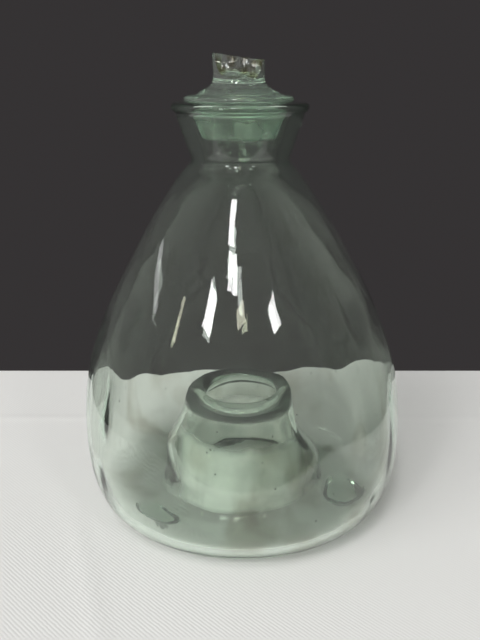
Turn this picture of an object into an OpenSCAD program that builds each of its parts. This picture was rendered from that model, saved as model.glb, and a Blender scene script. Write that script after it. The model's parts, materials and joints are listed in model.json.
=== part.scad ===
// Blown glass wasp trap: a bell jar with a pushed-up entrance funnel, three applied feet and a loose stopper.
// Z is up. The feet stand on z = 0 and the jar's axis is the Z axis. The front is towards -Y.

/* [Jar] */
// Outer radius of the belly at its widest
belly_r = 89.9; // [86:0.1:94]
// Height of the widest ring above the table
belly_z = 47; // [42:1:52]
// Outer radius of the neck at its narrowest
neck_r = 25.4; // [24.5:0.1:27]
// Height of the neck's narrowest ring
neck_z = 198; // [196:0.5:200]
// Height of the lip's flat top
lip_z = 226.4; // [225:0.1:230]
// Radius at the middle of the rounded lip bead
lip_r = 33.2; // [32.5:0.1:35]
// Radius of the lip bead's own round section
bead_r = 2.35; // [2:0.05:2.6]

/* [Glass] */
// Wall thickness of the belly
belly_wall = 3.6; // [3:0.1:4.5]
// Wall thickness of the base and the heel
base_wall = 5; // [4.5:0.1:6]
// Wall thickness of the neck
neck_wall = 7.4; // [6.5:0.1:8]
// Wall thickness of the collar where it meets the lip
collar_wall = 8.2; // [7.8:0.1:8.4]
// Wall thickness of the entrance funnel
funnel_wall = 4; // [3.5:0.1:4.5]

/* [Funnel] */
// Height of the rolled rim's top
rim_z = 68.4; // [64:0.1:74]
// Radius of the opening inside the rolled rim
opening_r = 20.5; // [18:0.5:22]
// Inner radius of the passage near the base
passage_r = 43.3; // [40:0.1:46]

/* [Feet] */
// Height of the feet, which is the gap under the base
foot_h = 5.2; // [4.6:0.1:6.5]
// Half of a foot's width across its ends
foot_half_w = 9.8; // [8:0.1:11]
// Distance from the axis to the middle of a foot
foot_ring_r = 61; // [60:0.5:62]
// Angle that the middle of a foot runs round the base
foot_sweep = 14; // [8:1:20]
// Direction of the front left foot
front_left_angle = 217.7; // [212:0.1:224]
// Direction of the right foot
right_angle = 347.2; // [340:0.1:354]
// Direction of the back foot
back_angle = 101.5; // [95:0.1:108]

/* [Stopper] */
// Radius of the plug where it meets the cap
plug_top_r = 25; // [23:0.1:25.2]
// Radius of the plug near its lower end
plug_low_r = 20; // [18:0.1:20.4]
// Length of the plug below the cap
plug_h = 17; // [14:0.1:18]
// Radius of the cap
cap_r = 28.2; // [27.8:0.1:30]
// Height of the cap up to the foot of the knob
cap_h = 11.8; // [10.8:0.1:13]
// Radius of the knob
knob_r = 13.3; // [12:0.1:14]
// Height of what is left of the knob
knob_h = 11.8; // [10:0.1:16]
// Slope of the broken top, highest on the left
break_angle = 7.3; // [4:0.1:10]

/* [Hidden] */
$fn = 96;
glass = [0.66, 0.80, 0.74, 0.55];
thick_glass = [0.45, 0.66, 0.58, 0.7];

// A cubic curve through p[0] and p[3], sampled at equal steps, without its last point.
function curve(p, steps) = [for (i = [0 : steps - 1])
    let (t = i / steps, s = 1 - t)
    p[0] * s * s * s + p[1] * 3 * s * s * t + p[2] * 3 * s * t * t + p[3] * t * t * t];

// Values going evenly from a towards b, without b.
function ramp(a, b, steps) = [for (i = [0 : steps - 1]) a + (b - a) * i / steps];

function reversed(list) = [for (i = [len(list) - 1 : -1 : 0]) list[i]];

function slice(list, first, last) = [for (i = [first : last]) list[i]];

// The unit normal on the left of a path at its point i, which is the side that the glass is on.
function left_normal(path, i) =
    let (a = path[max(i - 1, 0)], b = path[min(i + 1, len(path) - 1)], d = (b - a) / norm(b - a))
    [-d[1], d[0]];

bead_middle = [lip_r, lip_z - bead_r];
bead_start_angle = -78;
collar_top = bead_middle + bead_r * [cos(bead_start_angle), sin(bead_start_angle)];

// Joins of the outer skin, as [radius, height], from the funnel's rim down, out and up to the lip.
wall_top = [opening_r + 8.7, rim_z - 10.9];
passage_low = [passage_r, 20];
floor_in = [56, foot_h];
floor_out = [72, foot_h];
belly_side = [belly_r, belly_z];
shoulder_low = [53.3, 157.2];
neck_low = [neck_r + 1.2, neck_z - 2.2];
collar_low = [neck_r + 1.5, neck_z + 3.7];

// Number of straight steps that each stretch of the outer skin is sampled in.
passage_steps = 12;
root_steps = 8;
floor_steps = 2;
heel_steps = 12;
belly_steps = 14;
shoulder_steps = 10;
waist_steps = 6;

// The last point of each stretch in the outer skin's list.
root_end = passage_steps + root_steps;
floor_end = root_end + floor_steps;
heel_end = floor_end + heel_steps;
belly_middle = heel_end + belly_steps / 2;
belly_end = heel_end + belly_steps;
shoulder_end = belly_end + shoulder_steps;
collar_end = shoulder_end + waist_steps + 1;

outer_skin = concat(
    curve([wall_top, [32, rim_z - 27.4], [passage_r, 33], passage_low], passage_steps),
    curve([passage_low, [passage_r, 9.5], [passage_r + 4, foot_h], floor_in], root_steps),
    ramp(floor_in, floor_out, floor_steps),
    curve([floor_out, [84, foot_h], [belly_r, 22], belly_side], heel_steps),
    curve([belly_side, [belly_r, 89], [79.1, 112.2], shoulder_low], belly_steps),
    curve([shoulder_low, [40, 180.4], [31.7, neck_z - 7.5], neck_low], shoulder_steps),
    curve([neck_low, [neck_r - 0.6, neck_z - 0.7], [neck_r - 0.2, neck_z + 0.2], collar_low], waist_steps),
    [collar_low, collar_top]
);

glass_thickness = concat(
    ramp(funnel_wall, funnel_wall, passage_steps),
    ramp(funnel_wall, base_wall, root_steps),
    ramp(base_wall, base_wall, floor_steps),
    ramp(base_wall, belly_wall, heel_steps),
    ramp(belly_wall, belly_wall, belly_steps),
    ramp(belly_wall, neck_wall, shoulder_steps),
    ramp(neck_wall, neck_wall, waist_steps),
    [neck_wall, collar_wall]
);

inner_skin = [for (i = [0 : len(outer_skin) - 1])
    outer_skin[i] + left_normal(outer_skin, i) * glass_thickness[i]];

// The ring of glass between two points of the skin.
module blown_wall(first, last) {
    rotate_extrude()
        polygon(concat(slice(outer_skin, first, last), reversed(slice(inner_skin, first, last))));
}

module heel_wall() {
    color(glass) blown_wall(floor_end, heel_end);
}

module belly_wall() {
    color(glass) blown_wall(heel_end, belly_middle);
}

module shoulder_wall() {
    color(glass) blown_wall(belly_middle, belly_end);
}

module neck_slope() {
    color(glass) blown_wall(belly_end, shoulder_end);
}

module neck_collar() {
    color(thick_glass) blown_wall(shoulder_end, collar_end);
}

module lip_ring() {
    mouth_low = inner_skin[collar_end];
    bead = [for (a = [bead_start_angle : 14 : 90]) bead_middle + bead_r * [cos(a), sin(a)]];
    color(thick_glass)
    rotate_extrude()
        polygon(concat(bead, [[mouth_low[0] + 0.4, lip_z], [mouth_low[0] + 0.1, lip_z - 0.5], mouth_low]));
}

module trough_floor() {
    color(glass) blown_wall(passage_steps, floor_end);
}

module entrance_funnel() {
    color(glass) blown_wall(0, passage_steps);
}

// The rim's section: up the trough side, over the top, round the opening and back under to the wall.
module funnel_rim() {
    wall_in = outer_skin[0];
    wall_out = inner_skin[0];
    middle_r = opening_r + 5.8;
    opening = [opening_r, rim_z - 4.5];
    top = [middle_r, rim_z];
    under = [opening_r + 4.7, rim_z - 9];
    color(thick_glass)
    rotate_extrude()
        polygon(concat(
            curve([wall_out, wall_out + [-1.2, 6], [middle_r + 4.2, rim_z], top], 8),
            curve([top, [middle_r - 3.7, rim_z], [opening_r, rim_z - 1.8], opening], 8),
            curve([opening, [opening_r, rim_z - 7.4], [opening_r + 2, rim_z - 9], under], 6),
            curve([under, under + [2.4, 0], wall_in + [-0.2, 1.2], wall_in], 4),
            [wall_in]
        ));
}

// Half of a foot's section, from its middle to its edge: flat on the table, rounded at the edge.
foot_section = concat(
    [[0, 0]],
    curve([[foot_half_w - 3.4, 0], [foot_half_w - 1, 0], [foot_half_w, 2], [foot_half_w, foot_h]], 6),
    [[foot_half_w, foot_h], [0, foot_h]]
);

// A pad that follows the base: the smooth skin round two round pads.
module foot(direction) {
    rotate([0, 0, direction - foot_sweep / 2])
    hull()
        for (turn = [0, foot_sweep])
            rotate([0, 0, turn])
            translate([foot_ring_r, 0, 0])
            rotate_extrude($fn = 32) polygon(foot_section);
}

module foot_front_left() {
    color(thick_glass) foot(front_left_angle);
}

module foot_right() {
    color(thick_glass) foot(right_angle);
}

module foot_back() {
    color(thick_glass) foot(back_angle);
}

module stopper_plug() {
    low_z = lip_z - plug_h;
    color(thick_glass)
    rotate_extrude()
        polygon(concat(
            [[0, low_z]],
            curve([[plug_low_r - 3, low_z], [plug_low_r - 1, low_z],
                [plug_low_r - 0.4, low_z + 0.8], [plug_low_r, low_z + 2.4]], 6),
            [[plug_low_r, low_z + 2.4], [plug_top_r, lip_z], [0, lip_z]]
        ));
}

// The cap rests on the lip with its flat underside. Its top domes up and sweeps into the knob.
module stopper_cap() {
    edge_low = [cap_r - 1, lip_z];
    edge_high = [cap_r - 1.3, lip_z + 3.1];
    dome_end = [knob_r + 2.5, lip_z + 6.9];
    knob_foot = [knob_r, lip_z + cap_h];
    color(thick_glass)
    rotate_extrude()
        polygon(concat(
            [[0, lip_z]],
            curve([edge_low, [cap_r + 0.35, lip_z], [cap_r + 0.35, lip_z + 2.7], edge_high], 8),
            curve([edge_high, [cap_r - 5, lip_z + 4.2], [dome_end[0] + 3, dome_end[1] - 1], dome_end], 5),
            curve([dome_end, dome_end + [-1.4, 0.9], [knob_r, dome_end[1] + 2.4], knob_foot], 5),
            [knob_foot, [0, knob_foot[1]]]
        ));
}

// A short round stub whose top broke off, with a shell-shaped scoop out of its front.
module stopper_knob() {
    low_z = lip_z + cap_h;
    scoop_r = 15;
    color(thick_glass)
    difference() {
        translate([0, 0, low_z]) cylinder(r = knob_r, h = knob_h);
        translate([-knob_r, 0, low_z + knob_h])
            rotate([0, break_angle, 0])
            translate([0, -2 * knob_r, 0]) cube([3 * knob_r, 4 * knob_r, knob_h]);
        translate([2, -knob_r - 7.5, low_z + knob_h + 1.7]) sphere(r = scoop_r);
    }
}

heel_wall();
belly_wall();
shoulder_wall();
neck_slope();
neck_collar();
lip_ring();
trough_floor();
entrance_funnel();
funnel_rim();
foot_front_left();
foot_right();
foot_back();
stopper_plug();
stopper_cap();
stopper_knob();
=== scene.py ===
"""A hand-blown glass wasp trap on a cloth: a jar with its funnel and feet, and a broken stopper."""

import json
import math
import random

import bmesh
import bpy
from mathutils import Matrix, Quaternion, Vector, noise
from mathutils.geometry import interpolate_bezier


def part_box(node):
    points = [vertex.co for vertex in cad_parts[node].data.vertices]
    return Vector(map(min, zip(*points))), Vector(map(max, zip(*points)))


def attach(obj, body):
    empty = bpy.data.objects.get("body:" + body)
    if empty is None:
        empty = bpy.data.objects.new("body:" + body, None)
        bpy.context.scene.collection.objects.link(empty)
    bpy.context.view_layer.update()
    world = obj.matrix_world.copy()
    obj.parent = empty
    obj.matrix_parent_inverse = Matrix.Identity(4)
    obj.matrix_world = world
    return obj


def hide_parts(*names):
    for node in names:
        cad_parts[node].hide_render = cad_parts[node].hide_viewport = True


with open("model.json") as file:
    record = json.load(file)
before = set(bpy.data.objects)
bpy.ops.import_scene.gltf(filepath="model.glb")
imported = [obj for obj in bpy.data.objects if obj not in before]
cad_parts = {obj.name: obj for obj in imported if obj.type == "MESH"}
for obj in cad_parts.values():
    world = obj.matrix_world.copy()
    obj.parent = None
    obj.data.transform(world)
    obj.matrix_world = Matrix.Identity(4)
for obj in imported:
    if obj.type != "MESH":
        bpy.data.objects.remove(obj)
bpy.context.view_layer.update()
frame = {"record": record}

bl_info = {
    "name": "Blown Glass Wasp Trap",
    "version": (1, 0, 0),
    "blender": (4, 5, 0),
    "location": "View3D > Sidebar > Wasp Trap",
    "description": "Builds a hand-blown glass wasp trap with its stopper, on a cloth under soft light",
    "category": "Add Mesh",
}

MM = 0.001
FULL_TURN = 2 * math.pi
UP = Vector((0, 0, 1))
BODIES = frame["record"]["behaviour"]["bodies"]

LEAN_PIVOT = 85 * MM
LUMP_RADIUS = 80
FUNNEL_RIM_DEPTH = 10 * MM
SHEET_GAP = 0.12 * MM
FRONT_LEFT = Vector((-0.62, -0.78, 0.16)).normalized()
DARK_SIDE = 0.6
LAMP_DISTANCE = 2.4
LAMP_AIM = Vector((0, 0, 120 * MM))


def high(node):
    """The highest corner of a CAD node's box."""
    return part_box(node)[1]


def low(node):
    """The lowest corner of a CAD node's box."""
    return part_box(node)[0]


def length(name, description, default):
    """A property that holds a size in metres."""
    return bpy.props.FloatProperty(name=name, description=description, default=default, unit="LENGTH",
                                   precision=5)


def colour(name, description, default):
    """A property that holds a colour."""
    return bpy.props.FloatVectorProperty(name=name, description=description, default=default, size=3,
                                         subtype="COLOR", min=0, max=1)


def angle(name, description, degrees):
    """A property that holds an angle."""
    return bpy.props.FloatProperty(name=name, description=description, default=math.radians(degrees),
                                   subtype="ANGLE")


def factor(name, description, default):
    """A property that holds a share from 0 to 1."""
    return bpy.props.FloatProperty(name=name, description=description, default=default, subtype="FACTOR",
                                   min=0, max=1)


def strength(name, description, default):
    """A property that holds a plain amount from 0 up."""
    return bpy.props.FloatProperty(name=name, description=description, default=default, min=0)


class JarShape(bpy.types.PropertyGroup):
    """Sizes of the jar."""

    belly_radius: length("Belly radius", "Outer radius at the widest ring", high("heel_wall").x)
    belly_height: length("Belly height", "Height of the widest ring", high("heel_wall").z)
    foot_height: length("Foot height", "Gap under the base", high("foot_back").z)
    neck_radius: length("Neck radius", "Outer radius at the narrowest ring", 25.4 * MM)
    neck_height: length("Neck height", "Height of the narrowest ring", 198 * MM)
    lip_height: length("Lip height", "Height of the lip's flat top", high("lip_ring").z)
    lip_radius: length("Lip radius", "Outer radius of the lip's bead", high("lip_ring").x)
    bead_radius: length("Bead radius", "Radius of the bead's own section", 2.35 * MM)
    passage_radius: length("Passage radius", "Radius of the way in, near the base", 43.3 * MM)
    opening_radius: length("Opening radius", "Radius inside the rolled rim", 20.5 * MM)
    rim_height: length("Rim height", "Height of the rolled rim's top", high("funnel_rim").z)
    base_wall: length("Base wall", "Thickness of the base", 5 * MM)
    funnel_wall: length("Funnel wall", "Thickness of the funnel", 4 * MM)
    belly_wall: length("Belly wall", "Thickness of the belly", 3.6 * MM)
    neck_wall: length("Neck wall", "Thickness of the neck", 7.4 * MM)
    collar_wall: length("Collar wall", "Thickness of the collar under the lip", 8.2 * MM)
    lean: angle("Lean", "How far the jar leans to the left", 0.4)
    outer_ripple: length("Outer ripple", "Height of the waves in the outer skin", 0.3 * MM)
    inner_ripple: length("Inner ripple", "Height of the waves in the inner skin", 1.2 * MM)
    seeds: bpy.props.IntProperty(name="Seeds", description="Number of small bubbles in the glass",
                                 default=110)


class StopperShape(bpy.types.PropertyGroup):
    """Sizes of the stopper."""

    plug_top_radius: length("Plug top radius", "Radius under the cap", 25 * MM)
    plug_low_radius: length("Plug low radius", "Radius near the plug's end", 20 * MM)
    plug_end: length("Plug end", "Height of the plug's lower end", low("stopper_plug").z)
    cap_radius: length("Cap radius", "Radius of the cap", high("stopper_cap").x)
    cap_base: length("Cap base", "Height of the cap's flat underside", low("stopper_cap").z)
    knob_foot: length("Knob foot", "Height where the knob starts", high("stopper_cap").z)
    knob_radius: length("Knob radius", "Radius of the knob", 13.3 * MM)
    knob_top: length("Knob top", "Height of the highest point left", high("stopper_knob").z)
    seat_gap: length("Seat gap", "Gap between the cap and the lip", 0.15 * MM)
    offset: length("Offset", "How far left of the axis the stopper sits", 1.6 * MM)
    break_slope: angle("Break slope", "Fall of the broken top to the right", 7.3)


class GlassColours(bpy.types.PropertyGroup):
    """Colours of the glass and of what has settled on it; the white scale's sheet also carries painted light.
    """

    clear: colour("Clear glass", "Tint of a clean surface", (0.966, 0.987, 0.955))
    deep: colour("Deep glass", "What is left of white light in thick glass", (0.30, 0.85, 0.48))
    depth: strength("Depth", "Absorption for each metre of the jar's glass", 14)
    stopper_depth: strength("Stopper depth", "The same in the stopper", 8)
    stain: colour("Stain", "Dried residue inside the base and on the fracture", (0.30, 0.23, 0.11))
    haze: factor("Haze", "Share of light that the weathered surface scatters", 0.0105)
    # The white sheet is partly dried scale and partly painted light: this share also sets the pale pool
    # painted at the funnel's front and back.
    scale_and_light_share: factor("Scale cover", "How much the white scale inside the funnel hides", 0.9)
    scale: colour("Scale", "Colour of the dried scale", (0.96, 0.965, 0.94))
    ground: factor("Stopper haze", "The same share on the stopper, which is ground to fit", 0.04)


class StageLook(bpy.types.PropertyGroup):
    """The cloth, the light and the camera."""

    cloth: colour("Cloth", "Colour of the cloth", (0.715, 0.708, 0.698))
    backdrop: colour("Backdrop", "Colour behind the cloth", (0.036, 0.033, 0.034))
    room: colour("Room light", "Soft light from all round", (0.33, 0.33, 0.325))
    glow: strength("Front glow", "Extra soft light from the front left, against the room light", 16)
    cloth_half_width: length("Cloth half width", "Half the cloth's width", 0.26)
    cloth_half_depth: length("Cloth half depth", "Half the cloth's depth", 0.184)
    cloth_drop: length("Cloth drop", "Gap between the feet and the cloth, for light to get in", 0.25 * MM)
    camera_distance: length("Camera distance", "From the jar's axis, level", 0.393)
    camera_height: length("Camera height", "Above the cloth", 0.2437)
    camera_pitch: angle("Camera pitch", "How far the camera looks down", 18.98)


def place(radius, height):
    """A point of a profile, in the half plane that is spun round the axis."""
    return Vector((radius, 0, height))


def bow(start, start_handle, end_handle, end, steps):
    """A cubic curve between two points of a profile, without its last point."""
    return interpolate_bezier(start, start_handle, end_handle, end, steps + 1)[:-1]


def ramp(start, end, steps):
    """Values going evenly from start towards end, without end."""
    return [start + (end - start) * i / steps for i in range(steps)]


def smooth_step(value, start, end):
    """0 below start, 1 above end and an even slope between."""
    t = min(max((value - start) / (end - start), 0), 1)
    return t * t * (3 - 2 * t)


def glass_side(path, i):
    """The unit normal of a profile at its point i, on the side that the glass is on."""
    along = (path[min(i + 1, len(path) - 1)] - path[max(i - 1, 0)]).normalized()
    return Vector((-along.z, 0, along.x))


def jar_profile(shape):
    """The closed section of the jar's glass: outer skin up to the lip, inner skin back down to the rim."""
    foot, belly = shape.foot_height, shape.belly_radius
    neck, neck_z = shape.neck_radius, shape.neck_height
    passage, opening, rim = shape.passage_radius, shape.opening_radius, shape.rim_height
    bead_middle = place(shape.lip_radius - shape.bead_radius, shape.lip_height - shape.bead_radius)
    bead = [bead_middle + shape.bead_radius * Vector((math.cos(a), 0, math.sin(a)))
            for a in ramp(math.radians(-78), math.radians(90), 14)]

    wall_top = place(opening + 8.7 * MM, rim - 10.9 * MM)
    passage_low = place(passage, 20 * MM)
    floor_in = place(56 * MM, foot)
    floor_out = place(72 * MM, foot)
    belly_side = place(belly, shape.belly_height)
    shoulder_low = place(53.3 * MM, 157.2 * MM)
    neck_low = place(neck + 2.3 * MM, neck_z - 3.4 * MM)
    collar_low = place(neck + 1.5 * MM, neck_z + 3.7 * MM)

    stretches = [
        (bow(wall_top, place(32 * MM, rim - 27.4 * MM), place(passage, 33 * MM), passage_low, 20),
         shape.funnel_wall, shape.funnel_wall),
        (bow(passage_low, place(passage, 9.5 * MM), place(passage + 4 * MM, foot), floor_in, 22),
         shape.funnel_wall, shape.base_wall),
        (bow(floor_in, floor_in.lerp(floor_out, 0.3), floor_in.lerp(floor_out, 0.7), floor_out, 24),
         shape.base_wall, shape.base_wall),
        (bow(floor_out, place(84 * MM, foot), place(belly, 22 * MM), belly_side, 26),
         shape.base_wall, shape.belly_wall),
        (bow(belly_side, place(belly, 89 * MM), place(79.1 * MM, 112.2 * MM), shoulder_low, 34),
         shape.belly_wall, shape.belly_wall),
        (bow(shoulder_low, place(40 * MM, 180.4 * MM), place(31.7 * MM, neck_z - 7.5 * MM), neck_low, 18),
         shape.belly_wall, shape.neck_wall),
        (bow(neck_low, place(neck - 0.6 * MM, neck_z - 0.7 * MM), place(neck - 0.2 * MM, neck_z + 0.2 * MM),
             collar_low, 8),
         shape.neck_wall, shape.neck_wall),
        (bow(collar_low, collar_low.lerp(bead[0], 0.3), collar_low.lerp(bead[0], 0.7), bead[0], 8),
         shape.neck_wall, shape.collar_wall),
    ]
    outer = [point for points, _, _ in stretches for point in points] + [bead[0]]
    walls = [wall for points, first, last in stretches for wall in ramp(first, last, len(points))]
    walls.append(shape.collar_wall)
    inner = [point + glass_side(outer, i) * walls[i] for i, point in enumerate(outer)]

    mouth = inner[-1]
    lip_top = shape.lip_height - 0.1 * MM
    lip = bead[1:] + [
        bead_middle + UP * shape.bead_radius,
        place(bead_middle.x - 2.5 * MM, lip_top - 0.25 * MM),
        place(mouth.x + 1.6 * MM, lip_top - 0.15 * MM),
        place(mouth.x + 0.6 * MM, lip_top - 0.3 * MM),
        place(mouth.x + 0.15 * MM, lip_top - 0.9 * MM),
    ]

    rim_middle = opening + 5.8 * MM
    rim_top = place(rim_middle, rim)
    rim_side = place(opening, rim - 4.5 * MM)
    rim_under = place(opening + 4.7 * MM, rim - 9 * MM)
    wall_out = inner[0]
    rolled_rim = (
        bow(wall_out, wall_out + Vector((-1.2, 0, 6)) * MM, place(rim_middle + 4.2 * MM, rim), rim_top, 12)
        + bow(rim_top, place(rim_middle - 3.7 * MM, rim), place(opening, rim - 1.8 * MM), rim_side, 12)
        + bow(rim_side, place(opening, rim - 7.4 * MM), place(opening + 2 * MM, rim - 9 * MM), rim_under, 8)
        + bow(rim_under, rim_under + Vector((2.4, 0, 0)) * MM, wall_top + Vector((-0.2, 0, 1.2)) * MM,
              wall_top, 6)
    )
    inner_back = inner[-1:0:-2]
    outer_count = len(outer) + len(lip)
    return outer + lip + inner_back + rolled_rim, outer_count, len(inner_back)


def spun(profile, closed, steps):
    """A bmesh made by spinning a profile round the vertical axis."""
    bm = bmesh.new()
    verts = [bm.verts.new(point) for point in profile]
    edges = [bm.edges.new(pair) for pair in zip(verts, verts[1:])]
    if closed:
        edges.append(bm.edges.new((verts[-1], verts[0])))
    bmesh.ops.spin(bm, geom=verts + edges, cent=(0, 0, 0), axis=UP, angle=FULL_TURN, steps=steps,
                   use_merge=True, use_duplicate=False)
    bmesh.ops.remove_doubles(bm, verts=bm.verts, dist=0.002 * MM)
    bmesh.ops.recalc_face_normals(bm, faces=bm.faces)
    return bm


def finished_object(name, bm, material, body, nodes):
    """Makes a bmesh a smooth object that rides on a body and stands for some CAD nodes."""
    mesh = bpy.data.meshes.new(name)
    bm.to_mesh(mesh)
    bm.free()
    piece = bpy.data.objects.new(name, mesh)
    bpy.context.collection.objects.link(piece)
    mesh.materials.append(material)
    mesh.shade_smooth()
    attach(piece, body)
    if nodes:
        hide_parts(*nodes)
    return piece


def foot_directions():
    """The direction of the middle of each foot, seen from the axis."""
    middles = [(low(node) + high(node)) / 2 for node in ("foot_front_left", "foot_right", "foot_back")]
    return [math.atan2(middle.y, middle.x) for middle in middles]


def foot_depth(point, directions):
    """How much of the gap under the base is filled by a foot at a point, from 0 to 1."""
    half_width, half_reach, ring = 15.2 * MM, 9.4 * MM, 61.5 * MM
    depth = 0
    for number, direction in enumerate(directions):
        turn = (math.atan2(point.y, point.x) - direction + math.pi) % FULL_TURN - math.pi
        along = ring * turn / half_width
        across = (math.hypot(point.x, point.y) - ring) / half_reach
        wobble = 1 + 0.1 * noise.noise(Vector((point.x * 90, point.y * 90, number * 7)))
        edge = (abs(along) ** 2.4 + abs(across) ** 2.4) ** (1 / 2.4) * wobble
        depth = max(depth, 1 - smooth_step(edge, 0.86, 1.06))
    return depth


# Each lump: where it is round the jar (degrees, 0 is the front), its height, reach, rise and thickness (mm).
LUMPS = (
    (-58, 74, 14, 24, 1.5),
    (-34, 58, 18, 14, 1.0),
    (27, 86, 15, 12, 1.1),
    (48, 76, 12, 26, 1.3),
    (70, 58, 14, 26, 0.8),
    (128, 88, 14, 14, 1.3),
    (150, 70, 18, 12, 1.0),
    (-124, 84, 15, 16, 1.3),
    (-150, 66, 18, 14, 1.0),
)


def lump(point):
    """The height of the thick places that were left inside the bell, at a point."""
    total = 0
    for azimuth, height, reach, rise, thick in LUMPS:
        middle = math.radians(azimuth - 90)
        turn = (math.atan2(point.y, point.x) - middle + math.pi) % FULL_TURN - math.pi
        across = turn * LUMP_RADIUS / reach
        along = (point.z / MM - height) / rise
        total += thick * MM * math.exp(-across * across - along ** 4)
    return total


def ripple(point, size, seed):
    """A smooth wave of the blown skin: broad dents and finer streaks that run up and down."""
    broad = noise.noise(Vector((point.x * 24, point.y * 24, point.z * 15 + seed)))
    streak = noise.noise(Vector((point.x * 75, point.y * 75, point.z * 16 + seed * 2)))
    return size * (broad + 0.22 * streak)


def lean_shift(shape, height):
    """How far to the right the lean moves a point at a height."""
    return math.tan(shape.lean) * (LEAN_PIVOT - height)


def shape_jar(bm, shape, profile, outer_count, inner_count):
    """Moves the spun jar's vertices: hand-blown waves, the applied feet and the lean."""
    order = {(round(p.x * 1e6), round(p.z * 1e6)): i for i, p in enumerate(profile)}
    base_edge = shape.foot_height + 2.2 * MM
    rim_ripple = 0.2 * MM
    feet = foot_directions()
    moves = []
    for vert in bm.verts:
        radius = math.hypot(vert.co.x, vert.co.y)
        i = order.get((round(radius * 1e6), round(vert.co.z * 1e6)), 0)
        is_outer = i < outer_count
        is_inner = outer_count <= i < outer_count + inner_count
        calm = smooth_step(vert.co.z, shape.foot_height, 30 * MM) * (
            1 - 0.85 * smooth_step(vert.co.z, shape.neck_height - 20 * MM, shape.neck_height + 10 * MM))
        size = shape.outer_ripple if is_outer else shape.inner_ripple if is_inner else rim_ripple
        seed = 3 if is_outer else 11
        shift = vert.normal * ripple(vert.co, size, seed) * (0.25 + 0.75 * calm)
        if is_inner:
            shift += vert.normal * lump(vert.co) * calm
        under = is_outer and 45 * MM < radius < 76 * MM and vert.co.z < base_edge
        filled = foot_depth(vert.co, feet) if under else 0
        if filled > 0:
            shift = Vector((0, 0, -vert.co.z * filled))
        moves.append((vert, shift))
    for vert, shift in moves:
        vert.co += shift
        vert.co.x += lean_shift(shape, vert.co.z)


def scale_and_light_sheet(bm, shape):
    """A thin sheet for dried scale and painted light, on the passage's side of the funnel and all round the
    rolled rim.
    """
    coat = bm.copy()
    rim_low = shape.rim_height - FUNNEL_RIM_DEPTH
    bare = []
    for face in coat.faces:
        middle = face.calc_center_median()
        radius = middle.xy.length
        inside = radius < shape.passage_radius + 1.5 * MM and 7 * MM < middle.z < rim_low
        on_passage = inside and face.normal.xy.dot(middle.xy) < -0.3 * radius
        on_rim = radius < 36 * MM and rim_low <= middle.z < shape.rim_height + 3 * MM
        if not (on_passage or on_rim):
            bare.append(face)
    bmesh.ops.delete(coat, geom=bare, context="FACES")
    for vert in coat.verts:
        vert.co += vert.normal * SHEET_GAP
    return coat


def add_seeds(bm, shape, profile, outer_count):
    """Adds small bubbles inside the glass, drawn out along the wall. Their faces point into the bubble."""
    draw = random.Random(7)
    low_z, high_z = 20 * MM, 215 * MM
    walls = [i for i in range(outer_count) if low_z < profile[i].z < high_z and profile[i].x > 24 * MM]
    seeds = bmesh.new()
    for _ in range(shape.seeds):
        i = draw.choice(walls)
        inward = glass_side(profile, i)
        centre = profile[i] + inward * draw.uniform(1.2, 2.4) * MM
        size = draw.uniform(0.2, 0.55) * MM
        stretch = Matrix.Diagonal((0.7, 1, draw.uniform(1.1, 2.2)))
        tilt = Matrix.Rotation(-math.atan2(inward.z, -inward.x), 3, "Y")
        turn = Matrix.Rotation(draw.uniform(0, FULL_TURN), 3, "Z")
        matrix = (turn @ tilt @ stretch).to_4x4()
        matrix.translation = turn @ centre + Vector((lean_shift(shape, centre.z), 0, 0))
        bmesh.ops.create_icosphere(seeds, subdivisions=2, radius=size, matrix=matrix)
    bmesh.ops.reverse_faces(seeds, faces=seeds.faces)
    mesh = bpy.data.meshes.new("seeds")
    seeds.to_mesh(mesh)
    seeds.free()
    bm.from_mesh(mesh)
    bpy.data.meshes.remove(mesh)


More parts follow.
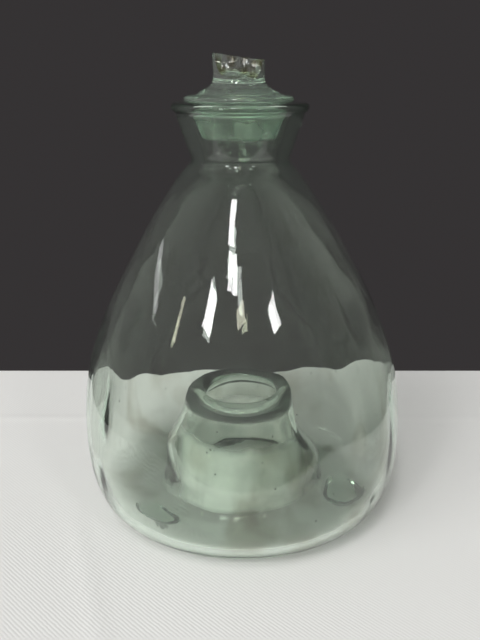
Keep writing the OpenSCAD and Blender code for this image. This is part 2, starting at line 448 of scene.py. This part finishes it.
def stopper_profile(shape):
    """The stopper's section, from the middle of the plug's end up to the middle of the knob's top."""
    base = shape.cap_base + shape.seat_gap
    cap, knob, end = shape.cap_radius, shape.knob_radius, shape.plug_end
    low_r, top_r = shape.plug_low_radius, shape.plug_top_radius
    plug_side = place(low_r, end + 2.6 * MM)
    plug_neck = place(top_r - 0.7 * MM, base - 1.6 * MM)
    edge_low = place(cap - 1.2 * MM, base)
    edge_high = place(cap - 1.5 * MM, base + 3 * MM)
    step_foot = place(cap - 7.2 * MM, base + 4.1 * MM)
    step_top = place(cap - 8 * MM, base + 4.8 * MM)
    flare_foot = place(knob + 2.4 * MM, base + 7.1 * MM)
    knob_foot = place(knob - 0.3 * MM, base + 12.2 * MM)
    knob_high = place(knob, shape.knob_top + 1 * MM)
    return (
        bow(place(0, end + 1.1 * MM), place(6 * MM, end + 1.1 * MM), place(9 * MM, end + 0.2 * MM),
            place(13.5 * MM, end), 12)
        + bow(place(13.5 * MM, end), place(low_r - 1.6 * MM, end), place(low_r - 0.4 * MM, end + 0.6 * MM),
              plug_side, 8)
        + bow(plug_side, place(low_r + 1.6 * MM, end + 7 * MM), place(top_r - 1.6 * MM, base - 6 * MM),
              plug_neck, 14)
        + bow(plug_neck, place(top_r - 0.5 * MM, base - 0.6 * MM), place(top_r - 0.2 * MM, base),
              place(top_r + 0.8 * MM, base), 5)
        + bow(place(top_r + 0.8 * MM, base), place(top_r + 1 * MM, base), place(cap - 1.5 * MM, base),
              edge_low, 3)
        + bow(edge_low, place(cap + 0.25 * MM, base), place(cap + 0.3 * MM, base + 2.7 * MM), edge_high, 12)
        + bow(edge_high, place(cap - 3.2 * MM, base + 3.3 * MM), place(cap - 6.4 * MM, base + 3.5 * MM),
              step_foot, 8)
        + bow(step_foot, place(cap - 7.5 * MM, base + 4.3 * MM), place(cap - 7.6 * MM, base + 4.7 * MM),
              step_top, 4)
        + bow(step_top, place(cap - 9.2 * MM, base + 5.4 * MM), flare_foot + Vector((1.4, 0, -0.9)) * MM,
              flare_foot, 6)
        + bow(flare_foot, flare_foot + Vector((-1.3, 0, 0.9)) * MM, place(knob, base + 9 * MM), knob_foot, 9)
        + bow(knob_foot, knob_foot + UP * 4 * MM, knob_high - UP * 4 * MM, knob_high, 16)
        + [knob_high, place(0, knob_high.z)]
    )


def fracture_height(x, y, shape):
    """The height of the broken surface over a point of the knob: a sloping break and shell-shaped scoops."""
    top = shape.knob_top
    rough = noise.noise(Vector((x * 260, y * 260, 1.7)))
    fine = noise.noise(Vector((x * 900, y * 900, 4.2)))
    height = top - (x + shape.knob_radius) * math.tan(shape.break_slope) + 0.45 * MM * (rough - 0.4)
    scoops = [
        (Vector((-7.2, -18.8, -0.5)) * MM, 13.4 * MM),
        (Vector((6.9, -20.2, -0.6)) * MM, 15.4 * MM),
        (Vector((-7.2, -11.2, 0.4)) * MM, 5.4 * MM),
        (Vector((9.8, -6.4, 1.2)) * MM, 5.2 * MM),
        (Vector((1.0, -6.0, 2.6)) * MM, 4.6 * MM),
    ]
    for number, (middle, radius) in enumerate(scoops):
        distance = math.hypot(x - middle.x, y - middle.y)
        if distance >= radius:
            continue
        shell = top + middle.z - math.sqrt(radius * radius - distance * distance)
        flutes = noise.noise(Vector((math.atan2(y - middle.y, x - middle.x) * 9, number * 5.3, 0)))
        rings = math.cos(distance / MM * 5.2 + 2 * rough)
        shell += 0.10 * MM * rings + 0.42 * MM * flutes
        height = min(height, shell)
    return height + 0.08 * MM * fine


def break_knob(bm, shape):
    """Breaks the knob's top off with a cutter whose underside is the broken surface, and marks the break."""
    cells, reach = 88, 15.5 * MM
    cutter = bmesh.new()
    bmesh.ops.create_grid(cutter, x_segments=cells, y_segments=cells, size=reach)
    for vert in cutter.verts:
        vert.co.z = fracture_height(vert.co.x, vert.co.y, shape)
    extruded = bmesh.ops.extrude_face_region(cutter, geom=cutter.faces[:], use_keep_orig=True)["geom"]
    for element in extruded:
        if isinstance(element, bmesh.types.BMVert):
            element.co.z = shape.knob_top + 12 * MM
    bmesh.ops.recalc_face_normals(cutter, faces=cutter.faces)
    scratch_objects = []
    for name, source in (("whole_stopper", bm), ("break_cutter", cutter)):
        mesh = bpy.data.meshes.new(name)
        source.to_mesh(mesh)
        scratch_objects.append(bpy.data.objects.new(name, mesh))
        bpy.context.collection.objects.link(scratch_objects[-1])
    body, tool = scratch_objects
    cut = body.modifiers.new("Break", "BOOLEAN")
    cut.operation = "DIFFERENCE"
    cut.solver = "EXACT"
    cut.object = tool
    bm.clear()
    bm.from_object(body, bpy.context.evaluated_depsgraph_get())
    for scratch in scratch_objects:
        mesh = scratch.data
        bpy.data.objects.remove(scratch)
        bpy.data.meshes.remove(mesh)
    cutter.free()
    marks = bm.verts.layers.float.new("broken")
    for vert in bm.verts:
        off = abs(vert.co.z - fracture_height(vert.co.x, vert.co.y, shape))
        vert[marks] = 1 if off < 0.08 * MM and vert.co.z > shape.knob_foot else 0


class Field:
    """A socket that can be used in a Python expression. Each operator adds a Math node."""

    def __init__(self, nodes, socket):
        self.nodes = nodes
        self.socket = socket

    def math(self, operation, *others, swap=False):
        """Adds a Math node over this value and others, in the other order if swap is set."""
        values = [self, *others]
        if swap:
            values.reverse()
        node = self.nodes.node("ShaderNodeMath", {"operation": operation}, dict(enumerate(values)))
        return Field(self.nodes, node.outputs[0])

    def largest(self, other):
        """The larger of two values."""
        return self.math("MAXIMUM", other)

    def above(self, limit):
        """1 where the value is over a limit, 0 elsewhere."""
        return self.math("GREATER_THAN", limit)

    def __add__(self, other):
        return self.math("ADD", other)

    __radd__ = __add__

    def __mul__(self, other):
        return self.math("MULTIPLY", other)

    __rmul__ = __mul__

    def __rsub__(self, other):
        return self.math("SUBTRACT", other, swap=True)

    def clamp(self):
        """The value, kept between 0 and 1."""
        return self.math("MINIMUM", 1).largest(0)

    def between(self, start, end):
        """0 at start, 1 at end, smooth between."""
        node = self.nodes.node("ShaderNodeMapRange", {"interpolation_type": "SMOOTHSTEP"},
                               {"Value": self, "From Min": start, "From Max": end})
        return Field(self.nodes, node.outputs["Result"])


class Nodes:
    """A node tree that is put together node by node."""

    def __init__(self, tree):
        self.tree = tree

    def node(self, kind, settings=None, inputs=None):
        """Adds a node, with its settings first and then the values or links of its sockets."""
        node = self.tree.nodes.new(kind)
        for name, value in (settings or {}).items():
            setattr(node, name, value)
        for name, value in (inputs or {}).items():
            if isinstance(value, Field):
                value = value.socket
            if isinstance(value, bpy.types.NodeSocket):
                self.tree.links.new(value, node.inputs[name])
            else:
                node.inputs[name].default_value = value
        return node

    def mix(self, share, first, second):
        """A mix of two colours."""
        node = self.node("ShaderNodeMix", {"data_type": "RGBA"}, {0: share})
        for i, shade in ((6, first), (7, second)):
            if isinstance(shade, bpy.types.NodeSocket):
                self.tree.links.new(shade, node.inputs[i])
            else:
                node.inputs[i].default_value = (*shade, 1)
        return node.outputs[2]

    def part(self, vector, axis):
        """One part of a vector: X, Y or Z."""
        return Field(self, self.node("ShaderNodeSeparateXYZ", None, {0: vector}).outputs[axis])


class Finish(Nodes):
    """A material that is put together from nodes."""

    def __init__(self, name):
        self.material = bpy.data.materials.new(name)
        self.material.use_nodes = True
        super().__init__(self.material.node_tree)
        self.tree.nodes.clear()
        self.output = self.node("ShaderNodeOutputMaterial")
        self.coordinates = self.node("ShaderNodeTexCoord").outputs["Object"]

    def mapped(self, scale=(1, 1, 1), location=(0, 0, 0)):
        """Object coordinates, stretched and moved."""
        return self.node("ShaderNodeMapping", None, {
            "Vector": self.coordinates, "Scale": scale, "Location": location}).outputs["Vector"]

    def noise(self, scale, detail, stretch=(1, 1, 1), location=(0, 0, 0)):
        """A noise value over Object coordinates."""
        node = self.node("ShaderNodeTexNoise", None, {
            "Vector": self.mapped(stretch, location), "Scale": scale, "Detail": detail})
        return Field(self, node.outputs["Fac"])

    def specks(self, scale, size, location=(0, 0, 0)):
        """1 inside small round specks, 0 elsewhere."""
        node = self.node("ShaderNodeTexVoronoi", {"feature": "F1"}, {
            "Vector": self.mapped(location=location), "Scale": scale})
        return 1 - Field(self, node.outputs["Distance"]).between(size * 0.6, size)

    def bump(self, height, strength, distance):
        """A normal that follows a height."""
        return self.node("ShaderNodeBump", None, {
            "Height": height, "Strength": strength, "Distance": distance}).outputs["Normal"]

    def height_above_cloth(self):
        """The height of a point, in metres."""
        return self.part(self.coordinates, "Z")

    def done(self, inputs, volume=None):
        """Joins a Principled node to the output and gives the finished material."""
        shader = self.node("ShaderNodeBsdfPrincipled", None, inputs)
        self.tree.links.new(shader.outputs[0], self.output.inputs["Surface"])
        if volume is not None:
            shade, density = volume
            depth = self.node("ShaderNodeVolumeAbsorption", None, {
                "Color": (*shade, 1), "Density": density})
            self.tree.links.new(depth.outputs[0], self.output.inputs["Volume"])
        return self.material


def jar_glass(colours):
    """Pale sea-green blown glass: faint dust, streaks, dark specks and dried residue low down."""
    finish = Finish("sea_green_blown_glass")
    height = finish.height_above_cloth()
    cloudy = finish.noise(38, 4, (1, 1, 0.5))
    streaks = finish.noise(120, 3, (1, 1, 0.12), (0.3, 0, 0))
    dust = finish.noise(900, 2)
    low_down = 1 - height.between(20 * MM, 90 * MM)
    residue = (cloudy.between(0.5, 0.68) * low_down * 0.32).clamp()
    specks = finish.specks(95, 0.045) * finish.noise(20, 1, location=(2, 1, 0)).between(0.45, 0.6)
    tint = finish.mix(residue, tuple(colours.clear), tuple(colours.stain))
    tint = finish.mix(specks * 0.75, tint, (0.06, 0.055, 0.04))
    roughness = 0.004 + cloudy.between(0.45, 0.75) * 0.02 + dust.between(0.6, 0.8) * 0.04 + residue * 0.2
    wave = streaks * 0.5 + cloudy * 0.5
    return finish.done({
        "Base Color": tint,
        "Roughness": roughness,
        "IOR": 1.5,
        "Transmission Weight": 1 - colours.haze,
        "Normal": finish.bump(wave, 0.25, 0.4 * MM),
    }, (tuple(colours.deep), colours.depth))


def scale_and_painted_light(colours):
    """White scale in the funnel up to a ragged tide line, faded at the sides into a painted pool of front
    light at its front and back; a film on its rim.
    """
    finish = Finish("white_scale_with_painted_light")
    height = finish.height_above_cloth()
    patchy = finish.noise(42, 4)
    tide = height + 9 * MM * finish.noise(60, 3, location=(0.5, 0, 0))
    # Painted light: the sheet fades at the funnel's sides, so the white stays as a pale pool at the front and
    # back, where the front light falls.
    side_distance_for_painted_light = finish.part(finish.coordinates, "X").math("ABSOLUTE")
    side_distance_for_painted_light = side_distance_for_painted_light + 5 * MM * finish.noise(50, 2, location=(0, 0.7, 0))
    cover = (1 - tide.between(45 * MM, 53 * MM)) * (1 - 0.3 * patchy.between(0.45, 0.7))
    cover = cover * height.between(6 * MM, 15 * MM) * (1 - 0.8 * side_distance_for_painted_light.between(31 * MM, 41 * MM))
    film = height.between(44 * MM, 60 * MM) * 0.05
    return finish.done({
        "Base Color": finish.mix(patchy, tuple(colours.scale), tuple(0.85 * part for part in colours.scale)),
        "Roughness": 0.7,
        "Alpha": (cover * colours.scale_and_light_share + film).clamp(),
    })


def stopper_glass(colours):
    """Solid glass: ground rough on the plug, moulded on the cap, flaked and stained where the knob broke."""
    finish = Finish("solid_stopper_glass")
    broken = Field(finish, finish.node("ShaderNodeAttribute", {"attribute_name": "broken"}).outputs["Fac"])
    ground = 1 - finish.height_above_cloth().between(222 * MM, 226 * MM)
    cords = finish.noise(60, 1.5)
    grain = finish.noise(1500, 2)
    flakes = finish.noise(420, 5)
    stain = finish.noise(170, 4, location=(0.4, 0.1, 0)).between(0.38, 0.56) * broken
    tint = finish.mix(stain * 0.95, tuple(colours.clear), tuple(colours.stain))
    smooth = 0.008 + cords.between(0.5, 0.8) * 0.03
    return finish.done({
        "Base Color": tint,
        "Roughness": smooth + ground * (0.16 + cords.between(0.35, 0.65) * 0.12)
        + broken * flakes.between(0.4, 0.7) * 0.14,
        "IOR": 1.5,
        "Transmission Weight": 1 - colours.ground,
        "Normal": finish.bump(cords * 0.4 + ground * grain * 0.15 + broken * flakes * 0.9, 0.35, 0.4 * MM),
    }, (tuple(colours.deep), colours.stopper_depth))


def cloth_material(look):
    """Off-white table cloth with a fine twill and a few faint marks."""
    finish = Finish("white_table_cloth")
    mottle = finish.noise(9, 4)
    marks = finish.noise(26, 3, location=(1.3, 0.2, 0)).between(0.68, 0.8)
    weave = Field(finish, finish.node("ShaderNodeTexWave", {"bands_direction": "DIAGONAL"}, {
        "Vector": finish.coordinates, "Scale": 260, "Distortion": 1.4, "Detail": 2}).outputs["Fac"])
    shade = finish.mix(mottle * 0.25, tuple(look.cloth), tuple(0.9 * part for part in look.cloth))
    shade = finish.mix(marks * 0.10, shade, (0.42, 0.40, 0.38))
    return finish.done({
        "Base Color": shade,
        "Roughness": 0.9,
        "Sheen Weight": 0.15,
        "Normal": finish.bump(weave + 0.6 * finish.noise(700, 2), 0.15, 0.3 * MM),
    })


class WASPTRAP_OT_jar(bpy.types.Operator):
    """Build the jar: bell, neck, collar, lip, trough, funnel and feet in one body of glass"""

    bl_idname = "wasptrap.jar"
    bl_label = "Build Jar"

    def execute(self, context):
        shape, colours = context.scene.wasptrap_jar, context.scene.wasptrap_glass
        if shape.rim_height >= shape.neck_height or shape.passage_radius >= shape.belly_radius:
            raise ValueError("The funnel doesn't fit inside the jar")
        profile, outer_count, inner_count = jar_profile(shape)
        bm = spun(profile, True, 240)
        bm.normal_update()
        shape_jar(bm, shape, profile, outer_count, inner_count)
        bm.normal_update()
        # The sheet carries the dried scale and a painted pool of light on the funnel.
        coat = scale_and_light_sheet(bm, shape)
        add_seeds(bm, shape, profile, outer_count)
        finished_object("jar_glass", bm, jar_glass(colours), "jar", BODIES["jar"])
        finished_object("scale_and_painted_light", coat, scale_and_painted_light(colours), "jar", [])
        return {"FINISHED"}


class WASPTRAP_OT_stopper(bpy.types.Operator):
    """Build the solid stopper: plug, cap and the stub of its broken knob"""

    bl_idname = "wasptrap.stopper"
    bl_label = "Build Stopper"

    def execute(self, context):
        shape, colours = context.scene.wasptrap_stopper, context.scene.wasptrap_glass
        bm = spun(stopper_profile(shape), False, 144)
        break_knob(bm, shape)
        if not bm.faces:
            raise RuntimeError("The break left nothing of the stopper")
        bmesh.ops.translate(bm, verts=bm.verts, vec=(-shape.offset, 0, 0))
        piece = finished_object("stopper_glass", bm, stopper_glass(colours), "stopper", BODIES["stopper"])
        piece.data.set_sharp_from_angle(angle=math.radians(38))
        return {"FINISHED"}


def room_light(look):
    """A dark backdrop to look at, and soft room light, mostly from the front left, for all that scatters."""
    world = bpy.data.worlds.new("studio")
    world.use_nodes = True
    bpy.context.scene.world = world
    nodes = Nodes(world.node_tree)
    path = nodes.node("ShaderNodeLightPath").outputs
    camera, mirrored, through, scatterings = (Field(nodes, path[name]) for name in (
        "Is Camera Ray", "Is Glossy Ray", "Is Transmission Ray", "Diffuse Depth"))
    lit = (1 - camera.largest(mirrored).largest(through)).largest(scatterings.above(0.5))
    way = nodes.node("ShaderNodeTexCoord").outputs["Generated"]
    facing = Field(nodes, nodes.node("ShaderNodeVectorMath", {"operation": "DOT_PRODUCT"}, {
        0: way, 1: FRONT_LEFT}).outputs["Value"])
    brightness = 1 + facing.between(0.74, 0.96) * look.glow * lit
    wall = camera.largest(nodes.part(way, "Y").above(0.35))
    seen = nodes.mix(wall, tuple(DARK_SIDE * part for part in look.backdrop), tuple(look.backdrop))
    background = nodes.tree.nodes["Background"]
    nodes.tree.links.new(nodes.mix(lit, seen, tuple(look.room)), background.inputs["Color"])
    nodes.tree.links.new(brightness.socket, background.inputs["Strength"])


def soft_box(name, azimuth, elevation, width, height, radiance, tint=(1, 1, 1), roll=0):
    """An area light that faces the jar. Azimuth 0 is the front, and it grows to the right."""
    turn, rise = math.radians(azimuth), math.radians(elevation)
    way = Vector((math.sin(turn) * math.cos(rise), -math.cos(turn) * math.cos(rise), math.sin(rise)))
    data = bpy.data.lights.new(name, "AREA")
    data.shape = "RECTANGLE"
    data.size, data.size_y = width, height
    data.energy = radiance * math.pi * width * height
    data.color = tint
    light = bpy.data.objects.new(name, data)
    light.location = LAMP_AIM + way * LAMP_DISTANCE
    spin = Quaternion(UP, math.radians(roll))
    light.rotation_euler = (way.to_track_quat("Z", "Y") @ spin).to_euler()
    light.visible_camera = False
    bpy.context.collection.objects.link(light)


def cloth_height(x, y):
    """The height of the cloth's folds at a point: one along its far side and one that falls to the front."""
    fold = 0.5 * MM * math.exp(-((y - 95 * MM) / (2.5 * MM)) ** 2)
    crease = (x + 0.32 * y + 105 * MM) / (4 * MM)
    fall = 0.35 * MM * math.exp(-crease ** 2) * smooth_step(-y, 10 * MM, 60 * MM)
    return (fold + fall) * smooth_step(math.hypot(x, y), 85 * MM, 100 * MM)


def lay_cloth(look):
    """A flat cloth with two faint folds, just under the feet."""
    bm = bmesh.new()
    bmesh.ops.create_grid(bm, x_segments=130, y_segments=92, size=1)
    bmesh.ops.scale(bm, vec=(look.cloth_half_width, look.cloth_half_depth, 1), verts=bm.verts)
    for vert in bm.verts:
        vert.co.z = cloth_height(vert.co.x, vert.co.y) - look.cloth_drop
    bmesh.ops.recalc_face_normals(bm, faces=bm.faces)
    mesh = bpy.data.meshes.new("table_cloth")
    bm.to_mesh(mesh)
    bm.free()
    mesh.materials.append(cloth_material(look))
    mesh.shade_smooth()
    cloth = bpy.data.objects.new("table_cloth", mesh)
    bpy.context.collection.objects.link(cloth)


def set_camera(look):
    """A camera in front of the trap, looking slightly down."""
    data = bpy.data.cameras.new("camera")
    data.lens = 41.5
    data.sensor_width = 36
    data.clip_start = 0.01
    camera = bpy.data.objects.new("camera", data)
    camera.location = (-1 * MM, -look.camera_distance, look.camera_height)
    camera.rotation_euler = (math.pi / 2 - look.camera_pitch, 0, 0)
    bpy.context.collection.objects.link(camera)
    bpy.context.scene.camera = camera


class WASPTRAP_OT_stage(bpy.types.Operator):
    """Lay the cloth, hang the lights and set the camera"""

    bl_idname = "wasptrap.stage"
    bl_label = "Build Stage"

    def execute(self, context):
        look = context.scene.wasptrap_stage
        if look.camera_distance <= context.scene.wasptrap_jar.belly_radius:
            raise ValueError("The camera is inside the jar")
        lay_cloth(look)
        room_light(look)
        soft_box("window_tall", -14, 54, 0.24, 0.54, 24)
        soft_box("window_pane_left", -14, 43.5, 0.14, 0.26, 21)
        soft_box("window_pane_right", -8, 43, 0.19, 0.29, 21)
        soft_box("window_garden", -1, 36, 0.30, 0.18, 9, (1, 1, 0.78), roll=20)
        soft_box("window_left", -31, 34.5, 0.30, 0.38, 22, roll=-12)
        soft_box("window_right", 32, 34, 0.27, 0.28, 19, roll=15)
        soft_box("window_slit", -58, 27, 0.09, 0.40, 7, (1, 1, 0.75))
        soft_box("window_far_left", -95, 22.5, 1.1, 0.09, 3.5)
        set_camera(look)
        context.scene.view_settings.view_transform = "Standard"
        return {"FINISHED"}


class WASPTRAP_PT_panel(bpy.types.Panel):
    """The trap's operators and sizes in the sidebar"""

    bl_idname = "WASPTRAP_PT_panel"
    bl_label = "Wasp Trap"
    bl_space_type = "VIEW_3D"
    bl_region_type = "UI"
    bl_category = "Wasp Trap"

    def draw(self, context):
        for operator in OPERATORS:
            self.layout.operator(operator.bl_idname)
        for name in GROUPS:
            box = self.layout.box()
            group = getattr(context.scene, name)
            for prop in group.bl_rna.properties:
                if prop.identifier not in {"rna_type", "name"}:
                    box.prop(group, prop.identifier)


OPERATORS = (WASPTRAP_OT_stage, WASPTRAP_OT_jar, WASPTRAP_OT_stopper)
GROUPS = {
    "wasptrap_jar": JarShape,
    "wasptrap_stopper": StopperShape,
    "wasptrap_glass": GlassColours,
    "wasptrap_stage": StageLook,
}


def register():
    """Adds the classes and the scene's property groups."""
    for group in GROUPS.values():
        bpy.utils.register_class(group)
    for item in (*OPERATORS, WASPTRAP_PT_panel):
        bpy.utils.register_class(item)
    for name, group in GROUPS.items():
        setattr(bpy.types.Scene, name, bpy.props.PointerProperty(type=group))


def unregister():
    """Takes the classes and the scene's property groups away again."""
    for name in GROUPS:
        delattr(bpy.types.Scene, name)
    for item in (WASPTRAP_PT_panel, *reversed(OPERATORS)):
        bpy.utils.unregister_class(item)
    for group in reversed(GROUPS.values()):
        bpy.utils.unregister_class(group)


def main():
    """Builds the stage, the jar and the stopper."""
    register()
    bpy.ops.wasptrap.stage()
    bpy.ops.wasptrap.jar()
    bpy.ops.wasptrap.stopper()


if __name__ == "__main__":
    main()
